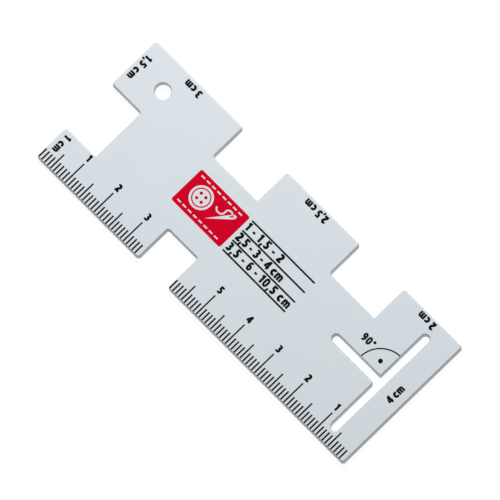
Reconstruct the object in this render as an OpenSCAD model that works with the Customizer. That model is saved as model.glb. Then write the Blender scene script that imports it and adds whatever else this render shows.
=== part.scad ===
// Stepped hem and seam gauge: a flat moulded plate whose tabs and notches are the measures,
// with printed scales, a pair of marking slots that meet at a right angle, and a hanging hole.
// The plate lies on its back with the printed face up.
// The origin is under the middle of the plate, on its back.
// X runs from the hanging-hole end to the slotted end, and Y from the scale edge to the tab edge.
// Sizes are in millimetres.

/* [Plate] */
// Width of the plate, which is the 4 cm measure
gauge_width = 40; // [38:0.5:60]
// Thickness of the moulding
plate_thickness = 2.5; // [1.5:0.1:4]
// Radius of the rim round the outline and the slots, on the printed side
edge_round = 0.4; // [0.2:0.05:0.5]
// Radius of the outer corners, seen from above
outer_corner_r = 0.8; // [0.6:0.1:2]
// Radius of the inner corners of the notches, seen from above
inner_corner_r = 0.5; // [0.3:0.1:2]

/* [Measures] */
// Width of the narrow tab at the hole end, the 1 cm measure
narrow_end_tab = 10; // [8:0.5:12]
// Width of the wide tab at the hole end, the 1.5 cm measure
wide_end_tab = 15; // [10:0.5:18]
// Width of the left tab on the tab edge, the 3 cm measure
left_tab = 30; // [20:0.5:34]
// Width of the middle tab on the tab edge, the 2.5 cm measure
middle_tab = 25; // [15:0.5:40]
// Width of the right tab on the tab edge, the 2 cm measure
right_tab = 20; // [18:0.5:35]
// Width of the two notches between those tabs
tab_notch_width = 15; // [8:0.5:20]
// Depth of the two notches between those tabs
tab_notch_depth = 10; // [4:0.5:12]
// Depth of the notch between the two end tabs
end_notch_depth = 10; // [4:0.5:14]

/* [Scale edge] */
// Length of the short scale
short_scale_length = 35; // [20:1:38]
// Width of the notch between the two scales
scale_notch_width = 10; // [6:0.5:14]
// Depth of the notch between the two scales
scale_notch_depth = 10; // [4:0.5:12]

/* [Hanging hole] */
// Diameter of the hole
hole_d = 4; // [3:0.1:6]
// Distance of its centre from the end of the plate
hole_from_end = 10; // [5:0.5:20]
// Radius of its rim
hole_round = 0.25; // [0.1:0.05:0.5]

/* [Marking slots] */
// Width of both slots
slot_width = 2; // [1.6:0.1:3]
// Plate left between the long slot and the plate's end
slot_to_end = 6.7; // [4:0.1:9]
// Plate left beyond each end of the long slot
slot_to_edge = 4; // [3:0.1:6]
// Length of the cross slot, from the long slot
cross_slot = 15; // [8:0.5:20]
// Radius of the blunt corner where the two slots meet
slot_corner_r = 1; // [0.6:0.1:2]

/* [Printing] */
// Thickness of the printed ink
ink = 0.02; // [0.01:0.01:0.1]
// Division of both scales
division = 1; // [1:1:2]
// Divisions from one numbered mark to the next
divisions_per_number = 10; // [10:10:20]
// How far both scales are printed towards the hole end
scale_shift = 0.5; // [0:0.1:0.6]
// Gap between the plate's rim and the foot of the marks
mark_gap = 0.1; // [0:0.05:0.5]
// Width of the foot of a mark
mark_width = 0.42; // [0.2:0.01:0.5]
// Length of that foot, which is the whole of a short mark
short_mark = 2.5; // [1.5:0.1:3]
// Width of a long mark above its foot
stem_width = 0.38; // [0.15:0.01:0.4]
// Length of a mark that halves a numbered step
half_mark = 4.5; // [3.5:0.1:5]
// Length of a numbered mark
number_mark = 6.3; // [5.5:0.1:7]
// Radius of the arc of the right-angle mark
angle_arc_r = 7; // [5:0.1:9]
// Width of its line
angle_line = 0.42; // [0.2:0.01:0.5]
// Diameter of its dot
angle_dot_d = 1.05; // [0.6:0.05:1.5]
// Distance of the dot from each side of the right angle
angle_dot_in = 2.9; // [2:0.1:3.5]

/* [Panel and lines] */
// Length of the coloured panel
panel_length = 16.6; // [8:0.1:18]
// Height of the coloured panel
panel_height = 10.3; // [6:0.1:12]
// Corner radius of the coloured panel
panel_corner_r = 0.5; // [0.2:0.1:2]
// Distance of the panel from the hole end
panel_from_end = 30.2; // [25:0.1:32]
// How far the panel and the lines sit above the middle of the plate
panel_rise = 0.75; // [0:0.05:2]
// Number of lines beside the panel
line_count = 4; // [2:1:5]
// Length of the lines
line_length = 21.4; // [10:0.1:22]
// Width of the lines
line_width = 0.42; // [0.15:0.01:0.5]
// Gap between the panel and the lines
line_gap = 0.9; // [0.5:0.1:2]

/* [Hidden] */
$fn = 48;
// Length by which cutters run past the plate's faces and walls
lap = 0.2;
// Lengths shorter than this count as none, such as the straight runs across a round slot end
least_run = 0.001;
plate_length = left_tab + middle_tab + right_tab + 2 * tab_notch_width;
long_scale_length = plate_length - short_scale_length - scale_notch_width;
hole_at = [hole_from_end, gauge_width - wide_end_tab / 2];
// Walls of the long slot, and the sharp corner from which the right angle is drawn
slot_right = plate_length - slot_to_end;
slot_left = slot_right - slot_width;
cross_low = gauge_width / 2 - slot_width / 2;
cross_high = cross_low + slot_width;
angle_at = [slot_left, cross_high];

// The outline's corners, with the plate on the left of each run, from the scale edge's end on.
// Each is [x, y, corner radius].
OUTLINE = [
    [0, 0, outer_corner_r],
    [short_scale_length, 0, outer_corner_r],
    [short_scale_length, scale_notch_depth, inner_corner_r],
    [short_scale_length + scale_notch_width, scale_notch_depth, inner_corner_r],
    [short_scale_length + scale_notch_width, 0, outer_corner_r],
    [plate_length, 0, outer_corner_r],
    [plate_length, gauge_width, outer_corner_r],
    [plate_length - right_tab, gauge_width, outer_corner_r],
    [plate_length - right_tab, gauge_width - tab_notch_depth, inner_corner_r],
    [left_tab + tab_notch_width + middle_tab, gauge_width - tab_notch_depth, inner_corner_r],
    [left_tab + tab_notch_width + middle_tab, gauge_width, outer_corner_r],
    [left_tab + tab_notch_width, gauge_width, outer_corner_r],
    [left_tab + tab_notch_width, gauge_width - tab_notch_depth, inner_corner_r],
    [left_tab, gauge_width - tab_notch_depth, inner_corner_r],
    [left_tab, gauge_width, outer_corner_r],
    [0, gauge_width, outer_corner_r],
    [0, gauge_width - wide_end_tab, outer_corner_r],
    [end_notch_depth, gauge_width - wide_end_tab, inner_corner_r],
    [end_notch_depth, narrow_end_tab, inner_corner_r],
    [0, narrow_end_tab, outer_corner_r],
];

// The two slots as one opening, again with the plate on the left of each run.
SLOTS = [
    [slot_right, slot_to_edge, slot_width / 2],
    [slot_left, slot_to_edge, slot_width / 2],
    [slot_left, cross_low, slot_corner_r],
    [slot_left - cross_slot, cross_low, slot_width / 2],
    [slot_left - cross_slot, cross_high, slot_width / 2],
    [slot_left, cross_high, 0],
    [slot_left, gauge_width - slot_to_edge, slot_width / 2],
    [slot_right, gauge_width - slot_to_edge, slot_width / 2],
];

// Corner i of a closed path, and the unit vectors of the runs into and out of it
function corner(path, i) = path[(i + len(path)) % len(path)];
function spot(path, i) = [corner(path, i).x, corner(path, i).y];
function corner_r(path, i) = corner(path, i)[2];
function run_in(path, i) = (spot(path, i) - spot(path, i - 1)) / norm(spot(path, i) - spot(path, i - 1));
function run_out(path, i) = run_in(path, i + 1);
// 1 where the path turns left, which is an outer corner of the plate, and -1 where it turns right
function turn(path, i) = sign(cross(run_in(path, i), run_out(path, i)));
// Where a corner's arc starts, where it ends, and its centre
function arc_start(path, i) = spot(path, i) - corner_r(path, i) * run_in(path, i);
function arc_end(path, i) = spot(path, i) + corner_r(path, i) * run_out(path, i);
function arc_centre(path, i) = arc_end(path, i) - corner_r(path, i) * run_in(path, i);
// Length of the straight run after corner i
function straight(path, i) = norm(arc_start(path, i + 1) - arc_end(path, i));

// Discs at the corners that turn the way given
module corner_discs(path, way) {
    for (i = [0 : len(path) - 1])
        if (corner_r(path, i) > 0 && turn(path, i) == way)
            translate(arc_centre(path, i)) circle(corner_r(path, i));
}

// The area inside a path, with its corners rounded; side is 1 where it lies on the left of each run
module rounded_area(path, side = 1) {
    difference() {
        union() {
            polygon([
                for (i = [0 : len(path) - 1]) each [
                    arc_start(path, i),
                    if (corner_r(path, i) > 0 && straight(path, i) > least_run) arc_end(path, i),
                ],
            ]);
            corner_discs(path, side);
        }
        corner_discs(path, -side);
    }
}

// Section of what a rounded rim takes off a square edge, with the wall at x = 0 and the face at y = 0
module rim_waste(r) {
    difference() {
        translate([-r, -r]) square(r + lap);
        translate([-r, -r]) circle(r);
    }
}

// Rounds the rim along every run and corner of a path
module rim_cutter(path, r) {
    for (i = [0 : len(path) - 1]) {
        left_turn = turn(path, i) > 0;
        away = atan2(-run_out(path, i).x, run_out(path, i).y);
        if (straight(path, i) > least_run)
            translate(concat(arc_start(path, i + 1), plate_thickness))
                rotate([90, 0, away])
                    linear_extrude(straight(path, i)) rim_waste(r);
        if (corner_r(path, i) > 0)
            translate(concat(arc_centre(path, i), plate_thickness))
                rotate([0, 0, away + (left_turn ? -90 : 180)])
                    rotate_extrude(angle = 90)
                        translate([corner_r(path, i), 0])
                            mirror([left_turn ? 0 : 1, 0]) rim_waste(r);
    }
}

// Puts what is drawn from the plate's corner into the part's frame
module in_place() {
    translate([-plate_length / 2, -gauge_width / 2, 0]) children();
}

module hanging_hole() {
    translate(concat(hole_at, -lap)) cylinder(d = hole_d, h = plate_thickness + 2 * lap);
    translate(concat(hole_at, plate_thickness))
        rotate_extrude() translate([hole_d / 2, 0]) mirror([1, 0]) rim_waste(hole_round);
}

module gauge_plate() {
    color("whitesmoke") in_place() difference() {
        linear_extrude(plate_thickness) rounded_area(OUTLINE);
        translate([0, 0, -lap])
            linear_extrude(plate_thickness + 2 * lap) rounded_area(SLOTS, side = -1);
        rim_cutter(OUTLINE, edge_round);
        rim_cutter(SLOTS, edge_round);
        hanging_hole();
    }
}

// Draws what follows as a film of ink on the face
module printed() {
    in_place() translate([0, 0, plate_thickness]) linear_extrude(ink) children();
}

// One mark of a scale, by its number of divisions from the zero
module scale_mark(n) {
    whole = divisions_per_number;
    reach = n % whole == 0 ? number_mark : (n % (whole / 2) == 0 ? half_mark : short_mark);
    translate([-mark_width / 2, edge_round + mark_gap]) square([mark_width, short_mark]);
    if (reach > short_mark)
        translate([-stem_width / 2, edge_round + mark_gap]) square([stem_width, reach]);
}

// Marks counted from a scale's zero towards the direction given; one on the scale's far end is left out
module scale_marks(length, zero, direction) {
    for (n = [1 : floor((length - least_run) / division)])
        translate([zero + direction * n * division - scale_shift, 0]) scale_mark(n);
}

module short_scale_marks() {
    color("black") printed() scale_marks(short_scale_length, 0, 1);
}

module long_scale_marks() {
    color("black") printed() scale_marks(long_scale_length, plate_length, -1);
}

// A quarter ring and a dot in the sharp corner between the slots
module right_angle_mark() {
    reach = angle_arc_r + angle_line;
    color("black") printed() {
        intersection() {
            translate(angle_at) difference() {
                circle(angle_arc_r + angle_line / 2);
                circle(angle_arc_r - angle_line / 2);
            }
            translate([angle_at.x - reach, angle_at.y + edge_round])
                square(reach - edge_round);
        }
        translate(angle_at + angle_dot_in * [-1, 1]) circle(d = angle_dot_d);
    }
}

module colour_panel() {
    low = [panel_from_end, gauge_width / 2 + panel_rise - panel_height / 2];
    high = low + [panel_length, panel_height];
    r = panel_corner_r;
    color("crimson") printed()
        rounded_area([[low.x, low.y, r], [high.x, low.y, r], [high.x, high.y, r], [low.x, high.y, r]]);
}

// Lines that share out the panel's height beside it
module ruled_lines() {
    pitch = (panel_height - line_width) / (line_count - 1);
    color("black") printed()
        for (i = [0 : line_count - 1])
            translate([
                panel_from_end + panel_length + line_gap,
                gauge_width / 2 + panel_rise - panel_height / 2 + i * pitch,
            ])
                square([line_length, line_width]);
}

gauge_plate();
short_scale_marks();
long_scale_marks();
right_angle_mark();
colour_panel();
ruled_lines();
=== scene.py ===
"""Dresses a stepped hem and seam gauge: a moulded white plate with black and red print.

Lengths are in metres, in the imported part's own frame: the plate lies on its back with its middle over
the origin, X runs from the hanging-hole end to the slotted end and Y from the scale edge to the tab edge.
"""

import math

import bpy
from bpy.props import FloatProperty, FloatVectorProperty, IntProperty, PointerProperty
from bpy.types import Operator, Panel, PropertyGroup
from mathutils import Matrix, Vector
from mathutils.geometry import delaunay_2d_cdt


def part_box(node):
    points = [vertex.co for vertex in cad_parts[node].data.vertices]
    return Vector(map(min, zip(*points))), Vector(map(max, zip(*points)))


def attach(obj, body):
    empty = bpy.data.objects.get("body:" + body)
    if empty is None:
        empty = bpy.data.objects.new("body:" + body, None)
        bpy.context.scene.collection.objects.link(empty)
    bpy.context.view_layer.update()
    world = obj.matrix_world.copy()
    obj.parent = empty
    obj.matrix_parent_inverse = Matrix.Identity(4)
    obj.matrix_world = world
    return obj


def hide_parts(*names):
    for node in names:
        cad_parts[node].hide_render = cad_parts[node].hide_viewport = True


bl_info = {
    "name": "Hem Gauge",
    "version": (1, 0, 0),
    "blender": (4, 5, 0),
    "location": "3D View > Sidebar > Hem Gauge",
    "description": "Builds a moulded hem gauge with its printed scales, captions and panel",
    "category": "Object",
}

MM = 0.001
# Places closer than this, in metres or in parts of a unit length, are one place
SAME_PLACE = 1e-7

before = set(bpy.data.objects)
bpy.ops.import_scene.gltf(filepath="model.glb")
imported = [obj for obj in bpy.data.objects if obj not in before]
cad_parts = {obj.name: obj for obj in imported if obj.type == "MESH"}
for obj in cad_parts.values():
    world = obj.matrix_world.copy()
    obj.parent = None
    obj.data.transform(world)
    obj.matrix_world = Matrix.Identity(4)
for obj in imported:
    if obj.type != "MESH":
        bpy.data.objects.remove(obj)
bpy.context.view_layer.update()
PLATE_LOW, PLATE_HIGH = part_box("gauge_plate")
PANEL_LOW, PANEL_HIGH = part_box("colour_panel")
LINES_LOW, LINES_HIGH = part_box("ruled_lines")
PLATE_LENGTH = PLATE_HIGH.x - PLATE_LOW.x
GAUGE_WIDTH = PLATE_HIGH.y - PLATE_LOW.y
FACE = PLATE_HIGH.z
INK_TOP = PANEL_HIGH.z


def from_corner(x, y):
    """A point measured from the plate's scale-edge corner at the hole end, in the part's frame."""
    return (PLATE_LOW.x + x, PLATE_LOW.y + y)


# Settings


def length(name, default, description):
    """A setting that is a length in metres."""
    return FloatProperty(
        name=name, description=description, default=default, min=0, precision=5, unit="LENGTH"
    )


def offset(name, default, description):
    """A setting that is a length in metres, one way or the other."""
    return FloatProperty(
        name=name, description=description, default=default, precision=5, unit="LENGTH"
    )


def angle(name, degrees, description):
    """A setting that is an angle."""
    return FloatProperty(
        name=name, description=description, default=math.radians(degrees), subtype="ANGLE"
    )


def share(name, default, description):
    """A setting from 0 to 2 that says how much there is of something."""
    return FloatProperty(
        name=name, description=description, default=default, min=0, max=2, subtype="FACTOR"
    )


def colour(name, default, description):
    """A setting that is a colour."""
    return FloatVectorProperty(
        name=name, description=description, default=default, size=3, min=0, max=1, subtype="COLOR"
    )


class PlateSizes(PropertyGroup):
    """Sizes of the moulded plate"""

    rim_round: length("Rim round", 0.4 * MM, "Width of the rim's curve on the printed side")
    rim_depth: FloatProperty(
        name="Rim depth", description="Depth of the rim's curve over its width", default=2.6, min=1
    )
    back_round: length("Back round", 0.08 * MM, "Radius left by the mould on the plate's back edge")
    outer_corner: length("Outer corner", 0.8 * MM, "Radius of the outer corners, seen from above")
    inner_corner: length("Inner corner", 0.5 * MM, "Radius of the notches' inner corners")
    narrow_end_tab: length("Narrow end tab", 10 * MM, "Width of the 1 cm tab at the hole end")
    wide_end_tab: length("Wide end tab", 15 * MM, "Width of the 1.5 cm tab at the hole end")
    end_notch_depth: length("End notch depth", 10 * MM, "Depth of the notch between the end tabs")
    left_tab: length("Left tab", 30 * MM, "Width of the 3 cm tab")
    right_tab: length("Right tab", 20 * MM, "Width of the 2 cm tab")
    tab_notch_width: length("Tab notch width", 15 * MM, "Width of the notches between the tabs")
    tab_notch_depth: length("Tab notch depth", 10 * MM, "Depth of the notches between the tabs")
    short_scale: length("Short scale", 35 * MM, "Length of the short scale's edge")
    scale_notch_width: length("Scale notch width", 10 * MM, "Width of the notch between the scales")
    scale_notch_depth: length("Scale notch depth", 10 * MM, "Depth of the notch between the scales")
    hole_across: length("Hole diameter", 4 * MM, "Diameter of the hanging hole")
    hole_in: length("Hole from end", 10 * MM, "Distance of the hole's centre from the plate's end")
    hole_round: length("Hole round", 0.25 * MM, "Radius of the hanging hole's rim")
    slot_width: length("Slot width", 2 * MM, "Width of both marking slots")
    slot_to_end: length("Slot to end", 6.7 * MM, "Plate between the long slot and the end")
    slot_to_edge: length("Slot to edge", 4 * MM, "Plate beyond each end of the long slot")
    cross_slot: length("Cross slot", 15 * MM, "Length of the cross slot")
    slot_corner: length("Slot corner", 1 * MM, "Radius of the blunt corner between the slots")


class PrintSizes(PropertyGroup):
    """Sizes of the print"""

    bedding: length("Ink bedding", 0.004 * MM, "How far the ink keys into the plastic")
    division: length("Division", 1 * MM, "Division of both scales")
    divisions_per_number: IntProperty(
        name="Divisions per number", description="Divisions between numbered marks", default=10, min=2
    )
    scale_shift: length("Scale shift", 0.5 * MM, "How far the scales sit towards the hole end")
    mark_foot: length("Mark foot", 0.3 * MM, "Distance of the marks from the scale edge")
    mark_width: length("Mark width", 0.42 * MM, "Width of a mark's foot")
    short_mark: length("Short mark", 2.7 * MM, "Length of a plain mark")
    stem_width: length("Stem width", 0.38 * MM, "Width of a long mark above its foot")
    half_mark: length("Half mark", 4.7 * MM, "Length of a half-way mark")
    number_mark: length("Numbered mark", 6.5 * MM, "Length of a numbered mark")
    numeral_height: length("Numeral height", 1.97 * MM, "Height of the scale numerals")
    numeral_base: length("Numeral base", 7.62 * MM, "Distance of the numerals' feet from the edge")
    row_height: length("Row height", 2.26 * MM, "Height of the figures on the ruled lines")
    row_weight: share("Row weight", 1.22, "Heaviness of those figures' strokes")
    caption_weight: share("Caption weight", 1.27, "Heaviness of the numerals' and captions' strokes")
    row_lift: length("Row lift", 0.62 * MM, "Height of those figures' feet above a line's middle")
    arc_radius: length("Arc radius", 6.84 * MM, "Radius of the right-angle arc")
    arc_line: length("Arc line", 0.34 * MM, "Width of the right-angle arc")
    arc_gap: length("Arc gap", 0.3 * MM, "Distance of the arc's ends from the slots")
    dot_across: length("Dot diameter", 1.18 * MM, "Diameter of the dot in the right angle")
    dot_in: length("Dot distance", 2.68 * MM, "Distance of the dot from both sides of the angle")
    line_count: IntProperty(name="Lines", description="Number of ruled lines", default=4, min=2)
    line_width: length("Line width", 0.45 * MM, "Width of the ruled lines")
    panel_corner: length("Panel corner", 0.5 * MM, "Corner radius of the coloured panel")


class Finishes(PropertyGroup):
    """Colours, wear, a painted rim highlight and shine of the plastic and the inks"""

    plastic: colour("Plastic", (0.672, 0.735, 0.778), "The cool white moulded plastic")
    plastic_warm: colour("Plastic drift", (0.683, 0.74, 0.778), "The tone that the plastic drifts to")
    # The rim's lighter tone is partly worn plastic and partly a painted highlight along the rim's curve,
    # the same on every side
    worn_rim: colour("Worn rim", (0.77, 0.82, 0.85), "The tone that the rim is worn towards")
    rim_wear: share("Rim wear", 0.2, "How far the rim is worn towards that tone")
    grain: share("Grain", 0.35, "Strength of the mould's fine grain")
    black_ink: colour("Black ink", (0.003, 0.003, 0.0036), "The black print")
    thin_black: colour("Thin black", (0.008, 0.008, 0.009), "The black print where it covers thinly")
    red_ink: colour("Red ink", (0.663, 0.0, 0.019), "The red print")
    thin_red: colour("Thin red", (0.685, 0.0, 0.021), "The red print where it covers thinly")
    ink_shine: share("Ink shine", 0.02, "Specular level of both inks")


class StageSettings(PropertyGroup):
    """Floor, light and camera"""

    elevation: angle("Elevation", 78.8, "Camera's height above the horizon")
    bearing: angle("Bearing", -30, "Direction that the camera leans to, from the plate's X axis")
    turn: angle("Turn", 45.26, "Angle of the plate's X axis below the picture's level")
    lens: FloatProperty(name="Lens", description="Focal length in mm", default=1200, min=1)
    view_width: length("View width", 119.32 * MM, "Width of the picture at the plate")
    look_right: offset("Look right", 0.14 * MM, "Picture's middle, right of the plate's middle")
    look_up: offset("Look up", 0.54 * MM, "Picture's middle, above the plate's middle")
    key_energy: FloatProperty(name="Key light", description="Power of the large lamp in W", default=5.4)
    key_size: length("Key light size", 330 * MM, "Side of the large square lamp")
    key_place: FloatVectorProperty(
        name="Key light place", description="Where the large lamp hangs, facing the plate's middle",
        default=(-305 * MM, 384 * MM, 630 * MM), size=3, precision=5, unit="LENGTH",
    )
    sky_level: share("Sky level", 0.26, "Strength of the white surround as a light")
    floor_bounce: share("Floor bounce", 0.5, "Paleness of the floor as the object sees it")
    floor_shadow: share("Floor shadow", 0.1, "Share of the floor's own shading that the camera sees")


# Flat shapes

# Most degrees between two neighbouring points of a bow
BOW_STEP = 9
# A mitred joint reaches no further out than half the line's width over this
MITRE_LIMIT = 0.5
# The triangulation's setting that keeps only what lies inside a shape
KEEP_INSIDE = 1
# It joins points that are this close, in millimetres
CUT_TOLERANCE = 1e-5


def bow(x, y, across, up, start, end):
    """Points along an elliptical bow, from one angle to another in degrees."""
    steps = math.ceil(abs(end - start) / BOW_STEP)
    angles = [math.radians(start + (end - start) * k / steps) for k in range(steps + 1)]
    return [(x + across * math.cos(a), y + up * math.sin(a)) for a in angles]


def circle(x, y, radius):
    """Points round a circle, without the first one again at the end."""
    return bow(x, y, radius, radius, 0, 360)[:-1]


def ribbon(points, width, closed=False):
    """A line of the given width as a strip of four-sided patches with mitred joints."""
    path = [Vector(p) for p in points]
    count = len(path)
    left, right = [], []
    for i, spot in enumerate(path):
        runs = []
        if closed or i > 0:
            runs.append((spot - path[i - 1]).normalized())
        if closed or i < count - 1:
            runs.append((path[(i + 1) % count] - spot).normalized())
        along = sum(runs, Vector((0, 0))).normalized()
        reach = width / 2 / max(MITRE_LIMIT, along.dot(runs[0]))
        side = reach * Vector((-along.y, along.x))
        left.append(tuple(spot + side))
        right.append(tuple(spot - side))
    patches = []
    for i in range(count if closed else count - 1):
        after = (i + 1) % count
        patches.append([right[i], right[after], left[after], left[i]])
    return patches


def signed_area(polygon):
    """Area of a flat polygon, above zero where its corners run counter-clockwise."""
    return sum(a[0] * b[1] - b[0] * a[1] for a, b in zip(polygon, polygon[1:] + polygon[:1])) / 2


def cut_up(shapes, keep):
    """Triangles of overlapping flat shapes, each a list of polygons in metres.

    keep says from the numbers of the shapes that a triangle lies in whether it stays.
    Returns the points in metres and the triangles, counter-clockwise.
    """
    points, polygons, owners = [], [], []
    for number, shape in enumerate(shapes):
        for polygon in shape:
            ordered = polygon if signed_area(polygon) > 0 else polygon[::-1]
            polygons.append(list(range(len(points), len(points) + len(ordered))))
            points += [Vector((x / MM, y / MM)) for x, y in ordered]
            owners.append(number)
    spots, _, triangles, _, _, sources = delaunay_2d_cdt(
        points, [], polygons, KEEP_INSIDE, CUT_TOLERANCE
    )
    kept = [t for t, found in zip(triangles, sources) if keep({owners[f] for f in found})]
    used = sorted({i for t in kept for i in t})
    place = {old: new for new, old in enumerate(used)}
    flat = [(spots[i].x * MM, spots[i].y * MM) for i in used]
    faces = [[place[i] for i in t] for t in kept]
    return flat, [f if signed_area([flat[i] for i in f]) > 0 else f[::-1] for f in faces]


def moved(polygons, origin=(0, 0), degrees=0, scale=1):
    """Polygons scaled, turned and then put at a place."""
    turn = math.radians(degrees)
    c, s = scale * math.cos(turn), scale * math.sin(turn)
    return [[(origin[0] + c * x - s * y, origin[1] + s * x + c * y) for x, y in p] for p in polygons]


# Figures and letters

# Sizes are for a character whose height is 1, which is given as its width and its (path, pen) strokes

# Pen of the figures 0, 6 and 9, and height of the small letters
ROUND_PEN = 0.205
X_HEIGHT = 0.755
# Where a figure is centred on its mark, if that isn't the middle of its width
NUMERAL_AXIS = {"1": 0.25}


def figure_two():
    hook = bow(0.3, 0.69, 0.176, 0.188, 162, -30) + [(0.13, 0.115)]
    return 0.61, [(hook, 0.25), ([(0.02, 0.112), (0.61, 0.112)], 0.225)]


def figure_three():
    upper = bow(0.29, 0.728, 0.17, 0.154, 152, -80)
    lower = bow(0.29, 0.305, 0.2, 0.187, 78, -156)
    return 0.61, [(upper, 0.228), (lower, 0.228), ([(0.2, 0.527), (0.33, 0.527)], 0.19)]


def figure_four():
    stem = ([(0.46, 0), (0.46, 1)], 0.21)
    bar = ([(0, 0.275), (0.65, 0.275)], 0.185)
    slope = ([(0.41, 0.93), (0.095, 0.32)], 0.2)
    return 0.65, [stem, bar, slope]


def figure_five():
    side = ([(0.19, 0.98), (0.165, 0.50)], 0.225)
    bowl = bow(0.265, 0.322, 0.188, 0.2, 124, -156)
    top = ([(0.085, 0.895), (0.565, 0.895)], 0.2)
    return 0.58, [top, side, (bowl, 0.235)]


def figure_nine():
    ring = bow(0.28, 0.675, 0.176, 0.222, 0, 360)
    tail = [(0.456, 0.68)] + bow(0.262, 0.34, 0.194, 0.236, 0, -126)
    return 0.56, [(ring, ROUND_PEN), (tail, ROUND_PEN)]


def figure_six():
    width, strokes = figure_nine()
    return width, [([(width - x, 1 - y) for x, y in path], pen) for path, pen in strokes]


def figure_nought():
    sides = bow(0.29, 0.66, 0.186, 0.237, 0, 180) + bow(0.29, 0.34, 0.186, 0.237, 180, 360)
    return 0.58, [(sides + sides[:1], ROUND_PEN)]


def letter_m():
    stem, bay = 0.12, 0.32
    strokes = [([(stem, 0), (stem, X_HEIGHT)], 0.22)]
    for foot in (stem, stem + bay):
        arch = bow(foot + bay / 2, 0.49, bay / 2, bay / 2, 172, 0) + [(foot + bay, 0)]
        strokes.append((arch, 0.21))
    return 0.88, strokes


CHARACTERS = {
    "0": figure_nought(),
    "1": (0.38, [([(0.25, 0), (0.25, 1)], 0.225), ([(0.25, 0.875), (0.0, 0.745)], 0.19)]),
    "2": figure_two(),
    "3": figure_three(),
    "4": figure_four(),
    "5": figure_five(),
    "6": figure_six(),
    "9": figure_nine(),
    "c": (0.58, [(bow(0.325, X_HEIGHT / 2, 0.21, 0.255, 42, 318), 0.24)]),
    "m": letter_m(),
    ",": (0.22, [([(0.145, 0.19), (0.055, -0.17)], 0.19)]),
    "-": (0.34, [([(0, 0.40), (0.34, 0.40)], 0.19)]),
    "°": (0.38, [(bow(0.19, 0.82, 0.1, 0.1, 0, 360), 0.145)]),
    " ": (0.21, []),
}


def drawn(character, weight):
    """Width and patches of a character, its strokes broadened or thinned by the weight."""
    width, strokes = CHARACTERS[character]
    patches = []
    for path, pen in strokes:
        closed = (Vector(path[0]) - Vector(path[-1])).length < SAME_PLACE
        patches += ribbon(path[:-1] if closed else path, pen * weight, closed)
    return width, patches


def written(text, height, start, degrees, span, weight):
    """A line of text from its start, turned, with its letters spread so that it fills the span."""
    bare = sum(CHARACTERS[c][0] for c in text)
    gap = (span / height - bare) / (len(text) - 1)
    line, at = [], 0.0
    for character in text:
        width, patches = drawn(character, weight)
        line += moved(patches, (at, 0))
        at += width + gap
    return moved(line, start, degrees, height)


def numeral(text, height, middle, base, weight):
    """A single figure centred over a mark."""
    width, patches = drawn(text, weight)
    return moved(patches, (middle - NUMERAL_AXIS.get(text, width / 2) * height, base), 0, height)


# Node helpers


def add(tree, kind, sockets=None, **settings):
    """Adds a node, sets its options, and sets or links its inputs by name or number."""
    node = tree.nodes.new(kind)
    for name, value in settings.items():
        setattr(node, name, value)
    for name, value in (sockets or {}).items():
        if isinstance(value, bpy.types.NodeSocket):
            tree.links.new(value, node.inputs[name])
        else:
            node.inputs[name].default_value = value
    return node


def sums(tree, operation, a, b):
    """The result of a Math node on two numbers or sockets."""
    return add(tree, "ShaderNodeMath", {0: a, 1: b}, operation=operation).outputs[0]


def triple(tree, x, y, z):
    """A vector from three numbers or sockets."""
    return add(tree, "ShaderNodeCombineXYZ", {0: x, 1: y, 2: z}).outputs[0]


# Materials


def empty_tree(owner):
    """The node tree of a material or a world, with nothing in it."""
    owner.use_nodes = True
    owner.node_tree.nodes.clear()
    return owner.node_tree


def new_material(name, **constants):
    """A material with a Principled shader whose constant values stand on its own sockets."""
    material = bpy.data.materials.new(name)
    tree = empty_tree(material)
    shader = add(tree, "ShaderNodeBsdfPrincipled")
    for socket, value in constants.items():
        shader.inputs[socket.replace("_", " ")].default_value = value
    add(tree, "ShaderNodeOutputMaterial", {"Surface": shader.outputs[0]})
    place = add(tree, "ShaderNodeTexCoord").outputs["Object"]
    return material, tree, shader, place


def noise(tree, place, size, detail=2.0, roughness=0.5):
    """Cloudy noise whose features are about the size given, in metres."""
    sockets = {"Vector": place, "Scale": 1 / size, "Detail": detail, "Roughness": roughness}
    return add(tree, "ShaderNodeTexNoise", sockets).outputs["Fac"]


def spread(tree, value, low, high, from_low=0.3, from_high=0.7):
    """Maps the middle of a noise to the range given."""
    sockets = {0: value, 1: from_low, 2: from_high, 3: low, 4: high}
    return add(tree, "ShaderNodeMapRange", sockets).outputs[0]


def blend_colours(tree, factor, first, second):
    """A blend of two colours or sockets, from the first at 0 to the second at 1."""
    mix = add(tree, "ShaderNodeMix", {0: factor}, data_type="RGBA")
    for socket, value in ((mix.inputs[6], first), (mix.inputs[7], second)):
        if isinstance(value, bpy.types.NodeSocket):
            tree.links.new(value, socket)
        else:
            socket.default_value = (*value, 1)
    return mix.outputs[2]


def bumped(tree, shader, heights):
    """Chains bumps of (height, strength, distance) into the shader's normal."""
    normal = None
    for height, strength, distance in heights:
        sockets = {"Height": height, "Strength": strength, "Distance": distance}
        if normal is not None:
            sockets["Normal"] = normal
        normal = add(tree, "ShaderNodeBump", sockets).outputs[0]
    tree.links.new(normal, shader.inputs["Normal"])


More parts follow.
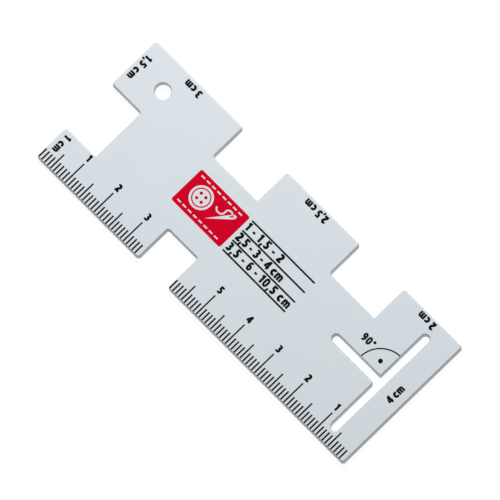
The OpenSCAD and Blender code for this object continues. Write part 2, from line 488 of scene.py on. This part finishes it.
def moulded_white(finishes):
    """Cool white moulded plastic: fine grain, slow flow marks, hairlines from use, and a polished rim
    that is also painted lighter as a highlight.
    """
    material, tree, shader, place = new_material("moulded_white", IOR=1.49)
    drift = spread(tree, noise(tree, place, size=22 * MM, detail=3), low=0, high=1)
    # The rim mask lowers the roughness where the plate is worn, and lightens the colour there: partly
    # wear, partly a painted highlight
    rim = add(tree, "ShaderNodeAttribute", attribute_name="rim").outputs["Fac"]
    base = blend_colours(tree, drift, finishes.plastic, finishes.plastic_warm)
    wear = sums(tree, "MULTIPLY", rim, finishes.rim_wear)
    tree.links.new(blend_colours(tree, wear, base, finishes.worn_rim), shader.inputs["Base Color"])

    drawn_out = {"Vector": place, "Rotation": (0, 0, 0.5), "Scale": (1, 22, 1)}
    streak = add(tree, "ShaderNodeMapping", drawn_out).outputs[0]
    scratches = noise(tree, streak, size=4 * MM, detail=5, roughness=0.7)
    hairline = spread(tree, scratches, low=0, high=1, from_low=0.62, from_high=0.7)
    satin = spread(tree, noise(tree, place, size=3.5 * MM, detail=4), low=0.36, high=0.44)
    dulling, polish = 0.05, 0.1
    dulled = sums(tree, "ADD", satin, sums(tree, "MULTIPLY", hairline, dulling))
    polished = sums(tree, "SUBTRACT", dulled, sums(tree, "MULTIPLY", rim, polish))
    tree.links.new(polished, shader.inputs["Roughness"])

    flow = noise(tree, place, size=6 * MM, detail=2)
    grain = noise(tree, place, size=0.18 * MM, detail=3, roughness=0.6)
    heights = [
        (flow, 0.12, 0.3 * MM),
        (grain, finishes.grain, 0.01 * MM),
        (hairline, 0.15, 0.004 * MM),
    ]
    bumped(tree, shader, heights)
    return material


def printed_ink(name, ink, thin, shine):
    """A film of ink that covers a little unevenly and takes the plastic's grain."""
    material, tree, shader, place = new_material(name, IOR=1.45, Specular_IOR_Level=shine)
    cover = spread(tree, noise(tree, place, size=0.9 * MM, detail=4, roughness=0.65), low=0, high=1)
    tree.links.new(blend_colours(tree, cover, ink, thin), shader.inputs["Base Color"])
    matt = spread(tree, noise(tree, place, size=0.5 * MM, detail=3), low=0.5, high=0.64)
    tree.links.new(matt, shader.inputs["Roughness"])
    grain = noise(tree, place, size=0.12 * MM, detail=3, roughness=0.6)
    bumped(tree, shader, [(grain, 0.3, 0.006 * MM)])
    return material


def finish_material(name):
    """Makes a finish once and hands it out again after that."""
    made = bpy.data.materials.get(name)
    if made is not None:
        return made
    finishes = bpy.context.scene.gauge_finishes
    if name == "moulded_white":
        return moulded_white(finishes)
    if name == "black_print":
        return printed_ink(name, finishes.black_ink, finishes.thin_black, finishes.ink_shine)
    if name == "red_print":
        return printed_ink(name, finishes.red_ink, finishes.thin_red, finishes.ink_shine)
    raise ValueError(f"no finish named {name!r}")


# Piece helpers


def new_piece(name, mesh):
    """An object in the scene with the mesh given, at the origin."""
    piece = bpy.data.objects.new(name, mesh)
    bpy.context.scene.collection.objects.link(piece)
    return piece


def put_on_frame(piece, slot, *nodes):
    """The piece rides with the part and stands for the nodes given; the finish slot is not used."""
    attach(piece, "root")
    if nodes:
        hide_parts(*nodes)


def ink_film(name, shapes, material, keep=bool):
    """Closed film of ink on the face, from flat shapes; keep is as for cut_up."""
    bedding = bpy.context.scene.gauge_print.bedding
    flat, triangles = cut_up(shapes, keep)
    count = len(flat)
    vertices = [(x, y, FACE - bedding) for x, y in flat] + [(x, y, INK_TOP) for x, y in flat]
    faces = [t[::-1] for t in triangles] + [[i + count for i in t] for t in triangles]
    sides = {(t[k], t[(k + 1) % 3]) for t in triangles for k in range(3)}
    faces += [(a, b, b + count, a + count) for a, b in sorted(sides) if (b, a) not in sides]
    mesh = bpy.data.meshes.new(name)
    mesh.from_pydata(vertices, [], faces)
    mesh.materials.append(material)
    return new_piece(name, mesh)


def print_black(name, shapes, *nodes):
    """A film of black ink that rides with the part and stands for the nodes given."""
    put_on_frame(ink_film(name, shapes, finish_material("black_print")), "black_ink", *nodes)


def node_group(name, inputs):
    """An empty geometry tree with named inputs; returns it and a look-up of its input sockets."""
    tree = bpy.data.node_groups.new(name, "GeometryNodeTree")
    tree.interface.new_socket("Geometry", in_out="OUTPUT", socket_type="NodeSocketGeometry")
    for label, kind in inputs:
        tree.interface.new_socket(label, in_out="INPUT", socket_type=kind)
    return tree, add(tree, "NodeGroupInput").outputs


def unit_bar(tree, middle):
    """A bar of length, width and height 1 round the middle given."""
    bar = add(tree, "GeometryNodeMeshCube", {"Size": (1, 1, 1)}).outputs[0]
    return add(tree, "GeometryNodeTransform", {"Geometry": bar, "Translation": middle}).outputs[0]


def bars_on(tree, points, bar, size, **chosen):
    """The bar on each point, or on those chosen, scaled to a length, a width and a height."""
    sockets = {"Points": points, "Instance": bar, "Scale": triple(tree, *size), **chosen}
    return add(tree, "GeometryNodeInstanceOnPoints", sockets).outputs[0]


def end_group(tree, geometry, material):
    """Ends a tree in Realize Instances and Set Material."""
    real = add(tree, "GeometryNodeRealizeInstances", {"Geometry": geometry})
    sockets = {"Geometry": real.outputs[0], "Material": material}
    dressed = add(tree, "GeometryNodeSetMaterial", sockets)
    add(tree, "NodeGroupOutput", {"Geometry": dressed.outputs[0]})


def grown(name, tree, values):
    """Runs a geometry tree with the values given and keeps its result as a plain mesh."""
    piece = new_piece(name, bpy.data.meshes.new(name))
    modifier = piece.modifiers.new("Pattern", "NODES")
    modifier.node_group = tree
    for item in tree.interface.items_tree:
        if item.in_out == "INPUT":
            modifier[item.identifier] = values[item.name]
    bpy.context.view_layer.update()
    evaluated = piece.evaluated_get(bpy.context.evaluated_depsgraph_get())
    mesh = bpy.data.meshes.new_from_object(evaluated)
    piece.modifiers.clear()
    piece.data = mesh
    if not mesh.polygons:
        raise RuntimeError(f"{name} came out empty")
    return piece


# The plate

# Straight pieces in a corner's quarter turn, round the hole, and down the rim's and the back's curve
CORNER_STEPS = 10
HOLE_STEPS = 72
RIM_STEPS = 12
BACK_STEPS = 3
# How worn the back's curve is, against the rim's, which also sets how much painted highlight lightens it
BACK_WEAR_AND_HIGHLIGHT = 0.4


def outline_corners(s):
    """Corners (x, y, radius) of the plate's outline, with the plate on the left of each run."""
    outer, inner = s.outer_corner, s.inner_corner
    notch_end = s.short_scale + s.scale_notch_width
    right, floor = PLATE_LENGTH - s.right_tab, GAUGE_WIDTH - s.tab_notch_depth
    first, middle_end = s.left_tab + s.tab_notch_width, right - s.tab_notch_width
    wide_foot = GAUGE_WIDTH - s.wide_end_tab
    corners = [
        (0, 0, outer),
        (s.short_scale, 0, outer),
        (s.short_scale, s.scale_notch_depth, inner),
        (notch_end, s.scale_notch_depth, inner),
        (notch_end, 0, outer),
        (PLATE_LENGTH, 0, outer),
        (PLATE_LENGTH, GAUGE_WIDTH, outer),
        (right, GAUGE_WIDTH, outer),
        (right, floor, inner),
        (middle_end, floor, inner),
        (middle_end, GAUGE_WIDTH, outer),
        (first, GAUGE_WIDTH, outer),
        (first, floor, inner),
        (s.left_tab, floor, inner),
        (s.left_tab, GAUGE_WIDTH, outer),
        (0, GAUGE_WIDTH, outer),
        (0, wide_foot, outer),
        (s.end_notch_depth, wide_foot, inner),
        (s.end_notch_depth, s.narrow_end_tab, inner),
        (0, s.narrow_end_tab, outer),
    ]
    return [(*from_corner(x, y), r) for x, y, r in corners]


def right_angle_corner(s):
    """The sharp corner between the slots, from which the right angle is drawn."""
    x = PLATE_LENGTH - s.slot_to_end - s.slot_width
    return from_corner(x, (GAUGE_WIDTH + s.slot_width) / 2)


def slot_corners(s):
    """Corners of the two slots as one opening, with the plate on the left of each run."""
    left, cross_high = right_angle_corner(s)
    right, cross_low = left + s.slot_width, cross_high - s.slot_width
    low, high = PLATE_LOW.y + s.slot_to_edge, PLATE_HIGH.y - s.slot_to_edge
    end = s.slot_width / 2
    return [
        (right, low, end),
        (left, low, end),
        (left, cross_low, s.slot_corner),
        (left - s.cross_slot, cross_low, end),
        (left - s.cross_slot, cross_high, end),
        (left, cross_high, 0),
        (left, high, end),
        (right, high, end),
    ]


def walked(corners):
    """Wall points round square corners, each as (point, normal before it, normal after it)."""
    walk = []
    count = len(corners)
    spots = [Vector(c[:2]) for c in corners]
    for i, (_, _, radius) in enumerate(corners):
        before = (spots[i] - spots[i - 1]).normalized()
        after = (spots[(i + 1) % count] - spots[i]).normalized()
        first, last = Vector((before.y, -before.x)), Vector((after.y, -after.x))
        if radius == 0:
            walk.append((spots[i], first, last))
            continue
        centre = spots[i] + radius * (after - before)
        reach = radius if before.cross(after) > 0 else -radius
        for k in range(CORNER_STEPS + 1):
            angle = math.pi / 2 * k / CORNER_STEPS
            normal = math.cos(angle) * first + math.sin(angle) * last
            point = centre + reach * normal
            if walk and (point - walk[-1][0]).length < SAME_PLACE:
                continue
            walk.append((point, normal, normal))
    if (walk[-1][0] - walk[0][0]).length < SAME_PLACE:
        walk.pop()
    return walk


def hole_walk(centre, radius):
    """Wall points round a hole, clockwise, so that the plate is on the left."""
    walk = []
    for k in range(HOLE_STEPS):
        angle = -2 * math.pi * k / HOLE_STEPS
        out = Vector((math.cos(angle), math.sin(angle)))
        walk.append((Vector(centre) + radius * out, -out, -out))
    return walk


def wall_section(rim, depth, back):
    """Section of a wall from face to back, as (inset, height, normal outwards, normal up, wear and
    painted highlight).

    The mask of wear and painted highlight is 1 half-way round the rim's curve and 0 where a curve meets a
    flat.
    """
    section = []
    for k in range(RIM_STEPS + 1):
        angle = math.pi / 2 * (1 - k / RIM_STEPS)
        c, s = math.cos(angle), math.sin(angle)
        out, up = Vector((c * depth, s)).normalized()
        section.append((rim * (1 - c), FACE - rim * depth * (1 - s), out, up, 2 * out * up))
    for k in range(BACK_STEPS + 1):
        angle = -math.pi / 2 * k / BACK_STEPS
        c, s = math.cos(angle), math.sin(angle)
        wear = BACK_WEAR_AND_HIGHLIGHT * abs(math.sin(2 * angle))
        section.append((back * (1 - c), PLATE_LOW.z + back * (1 + s), c, s, wear))
    return section


class PlateForm:
    """Vertices, faces, corner normals, and the mask of wear and painted highlight, of the plate as it is
    put together.
    """

    def __init__(self):
        self.vertices, self.faces, self.normals, self.wear = [], [], [], []
        self.top_rings, self.back_rings = [], []

    def add_wall(self, walk, section):
        """The wall that a section leaves along a walk, and the two rings of vertices that end it."""
        count, start = len(walk), len(self.vertices)
        # Each ring carries the section's mask of rim wear and painted highlight
        for inset, z, _, _, wear in section:
            for point, before, after in walk:
                inwards = before if (before - after).length < SAME_PLACE else before + after
                self.vertices.append((*(point - inset * inwards), z))
                self.wear.append(wear)
        for level in range(len(section) - 1):
            for k in range(count):
                after = (k + 1) % count
                a, b = start + level * count + k, start + level * count + after
                self.faces.append((b, a, a + count, b + count))
                for place, row, side in (
                    (after, level, 1), (k, level, 2), (k, level + 1, 2), (after, level + 1, 1),
                ):
                    c, up = section[row][2:4]
                    out = walk[place][side]
                    self.normals.append((c * out.x, c * out.y, up))
        end = len(self.vertices)
        self.top_rings.append(range(start, start + count))
        self.back_rings.append(range(end - count, end))

    def add_cap(self, rings, up):
        """The flat area between the outline's ring and the openings' rings."""
        known = {key_of(*self.vertices[i][:2]): i for ring in rings for i in ring}
        shapes = [[[self.vertices[i][:2] for i in ring]] for ring in rings]
        flat, triangles = cut_up(shapes, lambda found: found == {0})
        near = [nearest(known, x, y) for x, y in flat]
        for triangle in triangles:
            corners = [near[i] for i in triangle]
            self.faces.append(tuple(corners if up > 0 else corners[::-1]))
            self.normals += [(0, 0, up)] * 3

    def as_mesh(self, name):
        """The form as a smooth mesh, with its mask of wear and painted highlight in the attribute that
        the plastic reads.
        """
        mesh = bpy.data.meshes.new(name)
        mesh.from_pydata(self.vertices, [], self.faces)
        rim = mesh.attributes.new("rim", "FLOAT", "POINT")
        rim.data.foreach_set("value", self.wear)
        mesh.polygons.foreach_set("use_smooth", [True] * len(mesh.polygons))
        mesh.normals_split_custom_set(self.normals)
        return mesh


def key_of(x, y):
    """A place as whole steps of the least distance that counts."""
    return round(x / SAME_PLACE), round(y / SAME_PLACE)


def nearest(known, x, y):
    """The known vertex within two steps of a point."""
    column, row = key_of(x, y)
    for dx in (0, -1, 1, -2, 2):
        for dy in (0, -1, 1, -2, 2):
            if (column + dx, row + dy) in known:
                return known[(column + dx, row + dy)]
    raise RuntimeError("a cap's triangle has a corner off the rim")


class GAUGE_OT_plate(Operator):
    """Moulded plate with its tabs, notches, slots and hole, and the rounded rim on the printed side"""

    bl_idname = "gauge.plate"
    bl_label = "Moulded plate"

    def execute(self, context):
        s = context.scene.gauge_plate
        hole = from_corner(s.hole_in, GAUGE_WIDTH - s.wide_end_tab / 2)
        edges = [
            (walked(outline_corners(s)), s.rim_round),
            (walked(slot_corners(s)), s.rim_round),
            (hole_walk(hole, s.hole_across / 2), s.hole_round),
        ]
        form = PlateForm()
        for walk, rim in edges:
            form.add_wall(walk, wall_section(rim, s.rim_depth, s.back_round))
        form.add_cap(form.top_rings, 1)
        form.add_cap(form.back_rings, -1)
        mesh = form.as_mesh("moulded_plate")
        mesh.materials.append(finish_material("moulded_white"))
        put_on_frame(new_piece("moulded_plate", mesh), "white_plastic", "gauge_plate")
        return {"FINISHED"}


# The print


def scale_tree():
    """Marks in a row: short ones, longer ones half-way between numbers, and the longest at numbers."""
    lengths = ["Zero", "Step", "Foot", "Low", "High", "Foot Width", "Short", "Stem Width", "Half"]
    inputs = [(n, "NodeSocketFloat") for n in (*lengths, "Numbered")]
    inputs += [("Count", "NodeSocketInt"), ("Per Number", "NodeSocketInt"), ("Ink", "NodeSocketMaterial")]
    tree, given = node_group("Scale marks", inputs)
    first = triple(tree, sums(tree, "ADD", given["Zero"], given["Step"]), given["Foot"], given["Low"])
    step = triple(tree, given["Step"], 0.0, 0.0)
    placing = {"Count": given["Count"], "Start Location": first, "Offset": step}
    line = add(tree, "GeometryNodeMeshLine", placing).outputs[0]
    number = sums(tree, "ADD", add(tree, "GeometryNodeInputIndex").outputs[0], 1.0)
    half_step = sums(tree, "DIVIDE", given["Per Number"], 2.0)
    at_half = sums(tree, "LESS_THAN", sums(tree, "MODULO", number, half_step), 0.5)
    at_number = sums(tree, "LESS_THAN", sums(tree, "MODULO", number, given["Per Number"]), 0.5)
    extra = sums(tree, "MULTIPLY", at_number, sums(tree, "SUBTRACT", given["Numbered"], given["Half"]))
    reach = sums(tree, "SUBTRACT", sums(tree, "ADD", given["Half"], extra), given["Short"])
    depth = sums(tree, "SUBTRACT", given["High"], given["Low"])
    bar = unit_bar(tree, (0, 0.5, 0.5))
    feet = bars_on(tree, line, bar, (given["Foot Width"], given["Short"], depth))
    lift = {"Geometry": line, "Offset": triple(tree, 0.0, given["Short"], 0.0)}
    raised = add(tree, "GeometryNodeSetPosition", lift).outputs[0]
    stems = bars_on(tree, raised, bar, (given["Stem Width"], reach, depth), Selection=at_half)
    both = add(tree, "GeometryNodeJoinGeometry")
    tree.links.new(feet, both.inputs[0])
    tree.links.new(stems, both.inputs[0])
    end_group(tree, both.outputs[0], given["Ink"])
    return tree


def scale_rows(plate):
    """Name, length, zero and counting direction of both scales."""
    long_scale = PLATE_LENGTH - plate.short_scale - plate.scale_notch_width
    return (("short", plate.short_scale, 0, 1), ("long", long_scale, PLATE_LENGTH, -1))


class GAUGE_OT_scales(Operator):
    """Marks of the short scale and the long scale"""

    bl_idname = "gauge.scales"
    bl_label = "Scale marks"

    def execute(self, context):
        print_ = context.scene.gauge_print
        tree = scale_tree()
        for scale, reach, zero, way in scale_rows(context.scene.gauge_plate):
            x, foot = from_corner(zero - print_.scale_shift, print_.mark_foot)
            values = {
                "Zero": x,
                "Step": way * print_.division,
                "Foot": foot,
                "Low": FACE - print_.bedding,
                "High": INK_TOP,
                "Foot Width": print_.mark_width,
                "Short": print_.short_mark,
                "Stem Width": print_.stem_width,
                "Half": print_.half_mark,
                "Numbered": print_.number_mark,
                "Count": round(reach / print_.division) - 1,
                "Per Number": print_.divisions_per_number,
                "Ink": finish_material("black_print"),
            }
            row = grown(f"{scale}_scale_print", tree, values)
            put_on_frame(row, "black_ink", f"{scale}_scale_marks")
        return {"FINISHED"}


class GAUGE_OT_numerals(Operator):
    """Numerals over the numbered marks of both scales"""

    bl_idname = "gauge.numerals"
    bl_label = "Scale numerals"

    def execute(self, context):
        print_ = context.scene.gauge_print
        step = print_.division * print_.divisions_per_number
        base = PLATE_LOW.y + print_.numeral_base
        figures = []
        for _, reach, zero, way in scale_rows(context.scene.gauge_plate):
            # The numbers stop short of the scale's end, and rounding keeps them from reaching it
            for n in range(1, math.ceil(round(reach / step, 3))):
                middle = PLATE_LOW.x + zero + way * n * step - print_.scale_shift
                figures += numeral(str(n), print_.numeral_height, middle, base, print_.caption_weight)
        print_black("scale_numerals", [figures])
        return {"FINISHED"}


class GAUGE_OT_captions(Operator):
    """Measures printed on the tabs, and the degrees beside the right angle"""

    bl_idname = "gauge.captions"
    bl_label = "Measure captions"

    def execute(self, context):
        # Text, height, start from the plate's corner, turn in degrees, and length; lengths are in mm
        captions = (
            ("3 cm", 2.0, (17.3, 39.03), 180, 5.08),
            ("2,5 cm", 2.0, (60.38, 39.16), 180, 7.17),
            ("2 cm", 2.0, (96.97, 39.35), 180, 5.16),
            ("1,5 cm", 1.97, (0.97, 36.05), -90, 6.97),
            ("1  cm", 1.97, (1.27, 8.8), -90, 4.92),
            ("4 cm", 2.0, (102.85, 18.05), 90, 5.0),
            ("90°", 2.0, (86.2, 24.2), 0, 3.7),
        )
        weight = context.scene.gauge_print.caption_weight
        shapes = []
        for text, height, (x, y), degrees, span in captions:
            start = from_corner(x * MM, y * MM)
            shapes += written(text, height * MM, start, degrees, span * MM, weight)
        print_black("measure_captions", [shapes])
        return {"FINISHED"}


class GAUGE_OT_right_angle(Operator):
    """Arc and dot in the sharp corner between the slots"""

    bl_idname = "gauge.right_angle"
    bl_label = "Right-angle mark"

    def execute(self, context):
        plate, print_ = context.scene.gauge_plate, context.scene.gauge_print
        x, y = right_angle_corner(plate)
        # The arc's outer edge there, then its inner edge back
        arc = []
        for way in (1, -1):
            radius = print_.arc_radius + way * print_.arc_line / 2
            start = math.degrees(math.asin(print_.arc_gap / radius))
            arc += bow(x, y, radius, radius, 90 + start, 180 - start)[::way]
        dot = circle(x - print_.dot_in, y + print_.dot_in, print_.dot_across / 2)
        print_black("right_angle_print", [[arc, dot]], "right_angle_mark")
        return {"FINISHED"}


def lines_tree():
    """Lines of one length that share out a height."""
    lengths = ["Left", "Bottom", "Low", "High", "Length", "Width", "Pitch"]
    inputs = [(n, "NodeSocketFloat") for n in lengths]
    inputs += [("Count", "NodeSocketInt"), ("Ink", "NodeSocketMaterial")]
    tree, given = node_group("Ruled lines", inputs)
    first = triple(tree, given["Left"], given["Bottom"], given["Low"])
    pitch = triple(tree, 0.0, given["Pitch"], 0.0)
    placing = {"Count": given["Count"], "Start Location": first, "Offset": pitch}
    row = add(tree, "GeometryNodeMeshLine", placing).outputs[0]
    bar = unit_bar(tree, (0.5, 0.5, 0.5))
    depth = sums(tree, "SUBTRACT", given["High"], given["Low"])
    lines = bars_on(tree, row, bar, (given["Length"], given["Width"], depth))
    end_group(tree, lines, given["Ink"])
    return tree


def line_pitch(print_):
    """Distance between neighbouring lines, with the outer ones where the source has them."""
    return (LINES_HIGH.y - LINES_LOW.y - print_.line_width) / (print_.line_count - 1)


class GAUGE_OT_lines(Operator):
    """Ruled lines beside the coloured panel"""

    bl_idname = "gauge.lines"
    bl_label = "Ruled lines"

    def execute(self, context):
        print_ = context.scene.gauge_print
        values = {
            "Left": LINES_LOW.x,
            "Bottom": LINES_LOW.y,
            "Low": FACE - print_.bedding,
            "High": INK_TOP,
            "Length": LINES_HIGH.x - LINES_LOW.x,
            "Width": print_.line_width,
            "Pitch": line_pitch(print_),
            "Count": print_.line_count,
            "Ink": finish_material("black_print"),
        }
        put_on_frame(grown("ruled_line_print", lines_tree(), values), "black_ink", "ruled_lines")
        return {"FINISHED"}


class GAUGE_OT_rows(Operator):
    """Plain figures between the ruled lines: the gauge's measures and the scales' lengths"""

    bl_idname = "gauge.rows"
    bl_label = "Figures on the lines"

    def execute(self, context):
        print_ = context.scene.gauge_print
        # Text and length in mm, from the scale edge up
        rows = (("3,5 - 6 - 10,5 cm", 21.1), ("2,5 - 3 - 4 cm", 15.3), ("1 - 1,5 - 2", 12.0))
        shapes = []
        for i, (text, span) in enumerate(rows):
            base = LINES_LOW.y + print_.line_width / 2 + i * line_pitch(print_) + print_.row_lift
            start = (LINES_LOW.x, base)
            shapes += written(text, print_.row_height, start, 0, span * MM, print_.row_weight)
        print_black("line_figures", [shapes])
        return {"FINISHED"}


def panel_motif():
    """Button, needle with thread and two rows of stitches, in mm from the panel's lower left corner.

    A shape is left bare in the panel's ink, and one that lies inside another is inked again.
    """
    x, y, hole_off = 4.9, 5.35, 0.78
    holes = [(x + dx, y + dy) for dx in (-hole_off, hole_off) for dy in (-hole_off, hole_off)]
    button = [[circle(x, y, 3.05)], ribbon(circle(x, y, 2.3), 0.32, closed=True)]
    button += [[circle(*hole, 0.42)] for hole in holes]

    needle = [(8.9, 2.3), (13.75, 6.75), (14.35, 7.5), (14.3, 8.1), (13.7, 8.2), (12.95, 7.55)]
    eye = ribbon([(13.0, 6.93), (13.75, 7.66)], 0.34)
    thread = bow(12.4, 7.3, 0.95, 0.75, 25, 190) + bow(10.25, 6.75, 1.2, 1.0, 10, -170)

    first, last, pitch = 1.1, 2.25, 1.8
    stitches = [
        ribbon([(first + pitch * k, height), (last + pitch * k, height)], 0.38)
        for height in (1.1, 9.2)
        for k in range(8)
    ]
    return [*button, [needle], eye, ribbon(thread, 0.42), *stitches]


class GAUGE_OT_panel(Operator):
    """Red panel, printed round a plain sewing motif that the bare plate shows through"""

    bl_idname = "gauge.panel"
    bl_label = "Coloured panel"

    def execute(self, context):
        r = context.scene.gauge_print.panel_corner
        left, right = PANEL_LOW.x + r, PANEL_HIGH.x - r
        low, high = PANEL_LOW.y + r, PANEL_HIGH.y - r
        panel = []
        for x, y, start in ((right, high, 0), (left, high, 90), (left, low, 180), (right, low, 270)):
            panel += bow(x, y, r, r, start, start + 90)
        motif = [moved(shape, PANEL_LOW.xy, 0, MM) for shape in panel_motif()]
        film = ink_film(
            "red_panel_print", [[panel], *motif], finish_material("red_print"),
            keep=lambda found: len(found) % 2 == 1,
        )
        put_on_frame(film, "red_ink", "colour_panel")
        return {"FINISHED"}


# The stage

# How far the floor goes each way, and how far it lies below the plate
FLOOR_REACH = 4.0
FLOOR_GAP = 0.02 * MM
# What the camera sees of an empty floor, and how brightly the light falls on it, with 1 as white
FLOOR_SEEN = 1.03
FLOOR_LIGHT = 0.9
# The camera's sensor in mm, and the nearest and furthest that it sees in metres
SENSOR_WIDTH = 36
NEAREST_SEEN, FURTHEST_SEEN = 0.05, 20


def seen_directly(tree):
    """1 for what the camera, a mirror or a glass sees, and 0 for what only lights the object."""
    path = add(tree, "ShaderNodeLightPath")
    mirror = sums(tree, "MAXIMUM", path.outputs["Is Glossy Ray"], path.outputs["Is Transmission Ray"])
    return sums(tree, "MAXIMUM", path.outputs["Is Camera Ray"], mirror)


def stage_floor(settings):
    """A wide pale floor that is white to the camera but keeps the object's shadow."""
    mesh = bpy.data.meshes.new("floor")
    corners = [(x * FLOOR_REACH, y * FLOOR_REACH) for x, y in ((-1, -1), (1, -1), (1, 1), (-1, 1))]
    mesh.from_pydata([(*c, PLATE_LOW.z - FLOOR_GAP) for c in corners], [], [(0, 1, 2, 3)])
    material = bpy.data.materials.new("pale_floor")
    tree = empty_tree(material)
    level, shade = settings.floor_bounce, settings.floor_shadow
    plain = add(tree, "ShaderNodeBsdfDiffuse", {"Color": (level, level, level, 1)}).outputs[0]
    shaded = add(tree, "ShaderNodeBsdfDiffuse", {"Color": (shade, shade, shade, 1)}).outputs[0]
    glow = {"Color": (1, 1, 1, 1), "Strength": FLOOR_SEEN - shade * FLOOR_LIGHT}
    white = add(tree, "ShaderNodeEmission", glow).outputs[0]
    shown = add(tree, "ShaderNodeAddShader", {0: shaded, 1: white}).outputs[0]
    mix = add(tree, "ShaderNodeMixShader", {0: seen_directly(tree), 1: plain, 2: shown})
    add(tree, "ShaderNodeOutputMaterial", {"Surface": mix.outputs[0]})
    mesh.materials.append(material)
    new_piece("floor", mesh)


def stage_surround(settings):
    """White surround, dimmer as a light than as it looks."""
    world = bpy.data.worlds.new("surround")
    bpy.context.scene.world = world
    tree = empty_tree(world)
    low = settings.sky_level
    strength = add(tree, "ShaderNodeMapRange", {0: seen_directly(tree), 3: low, 4: 1.0}).outputs[0]
    sky = add(tree, "ShaderNodeBackground", {"Color": (1, 1, 1, 1), "Strength": strength})
    add(tree, "ShaderNodeOutputWorld", {"Surface": sky.outputs[0]})


def stage_lamp(name, place, size, energy):
    """A square soft lamp that faces the plate."""
    lamp = bpy.data.lights.new(name, "AREA")
    lamp.shape = "SQUARE"
    lamp.size = size
    lamp.energy = energy
    thing = bpy.data.objects.new(name, lamp)
    thing.location = place
    thing.rotation_euler = Vector(place).to_track_quat("Z", "Y").to_euler()
    bpy.context.scene.collection.objects.link(thing)


def stage_camera(s):
    """A long lens over the plate, leaning towards its slotted end and scale edge."""
    lean = math.pi / 2 - s.elevation
    back = Vector(
        (math.sin(lean) * math.cos(s.bearing), math.sin(lean) * math.sin(s.bearing), math.cos(lean))
    )
    level = Vector((math.cos(s.turn), math.sin(s.turn), 0))
    right = (level - back * level.dot(back)).normalized()
    up = back.cross(right)
    camera = bpy.data.cameras.new("camera")
    camera.lens = s.lens
    camera.sensor_width = SENSOR_WIDTH
    camera.clip_start, camera.clip_end = NEAREST_SEEN, FURTHEST_SEEN
    distance = s.view_width * s.lens / SENSOR_WIDTH
    aim = Vector((0, 0, FACE / 2)) + right * s.look_right + up * s.look_up
    thing = bpy.data.objects.new("camera", camera)
    turned = Matrix((right, up, back)).transposed().to_4x4()
    thing.matrix_world = Matrix.Translation(aim + back * distance) @ turned
    bpy.context.scene.collection.objects.link(thing)
    bpy.context.scene.camera = thing


class GAUGE_OT_stage(Operator):
    """Floor, surround, lamps and camera"""

    bl_idname = "gauge.stage"
    bl_label = "Stage"

    def execute(self, context):
        settings = context.scene.gauge_stage
        stage_floor(settings)
        stage_surround(settings)
        stage_lamp("key_lamp", settings.key_place, settings.key_size, settings.key_energy)
        stage_camera(settings)
        context.scene.view_settings.view_transform = "Standard"
        return {"FINISHED"}


# Panel and registration

STEPS = ("plate", "scales", "numerals", "captions", "right_angle", "lines", "rows", "panel", "stage")
GROUPS = {
    "gauge_plate": PlateSizes,
    "gauge_print": PrintSizes,
    "gauge_finishes": Finishes,
    "gauge_stage": StageSettings,
}


class GAUGE_PT_sidebar(Panel):
    """Buttons for the gauge's pieces, and their settings"""

    bl_idname = "GAUGE_PT_sidebar"
    bl_label = "Hem Gauge"
    bl_space_type = "VIEW_3D"
    bl_region_type = "UI"
    bl_category = "Hem Gauge"

    def draw(self, context):
        for step in STEPS:
            self.layout.operator(f"gauge.{step}")
        for name, group in GROUPS.items():
            box = self.layout.box()
            for setting in group.__annotations__:
                box.prop(getattr(context.scene, name), setting)


CLASSES = (
    *GROUPS.values(), GAUGE_OT_plate, GAUGE_OT_scales, GAUGE_OT_numerals, GAUGE_OT_captions,
    GAUGE_OT_right_angle, GAUGE_OT_lines, GAUGE_OT_rows, GAUGE_OT_panel, GAUGE_OT_stage,
    GAUGE_PT_sidebar,
)


def register():
    for made in CLASSES:
        bpy.utils.register_class(made)
    for name, group in GROUPS.items():
        setattr(bpy.types.Scene, name, PointerProperty(type=group))


def unregister():
    for name in GROUPS:
        delattr(bpy.types.Scene, name)
    for made in reversed(CLASSES):
        bpy.utils.unregister_class(made)


def main():
    register()
    for step in STEPS:
        getattr(bpy.ops.gauge, step)()


if __name__ == "__main__":
    main()
